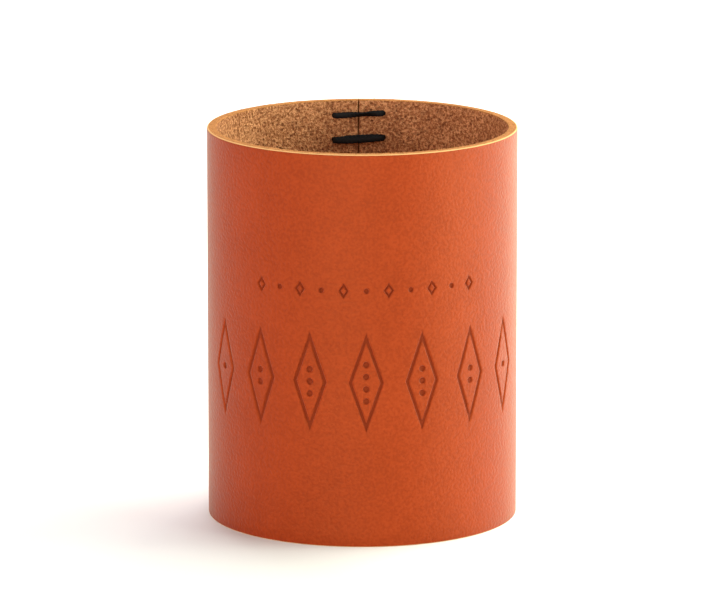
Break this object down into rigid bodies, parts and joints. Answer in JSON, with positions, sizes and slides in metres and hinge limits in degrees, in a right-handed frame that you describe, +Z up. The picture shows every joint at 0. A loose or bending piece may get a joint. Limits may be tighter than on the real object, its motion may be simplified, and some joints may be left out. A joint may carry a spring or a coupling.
{
  "type": "leather dice cup",
  "caption": "Straight round dice cup of rolled leather, laced edge to edge up one side with flat waxed cord, with a glued-in leather base and a pressed pattern of lozenges and pips.",
  "frame": {"origin": "middle of the lower edge, on the table the cup stands on", "axes": "+Z up out of the mouth, +Y towards the laced seam, -Y towards the middle of the pressed pattern"},
  "size_m": [0.076, 0.0772, 0.0965],
  "materials": {
    "grain_leather": "smooth full grain, orange-brown, tan cut edges and flesh side",
    "base_leather": "flesh side up, orange-brown grain side down",
    "waxed_cord": "black, waxed, flat braid"
  },
  "bodies": {
    "root": {"cup_wall": "grain_leather", "base_disc": "base_leather", "lacing_cord": "waxed_cord"}
  },
  "joints": []
}
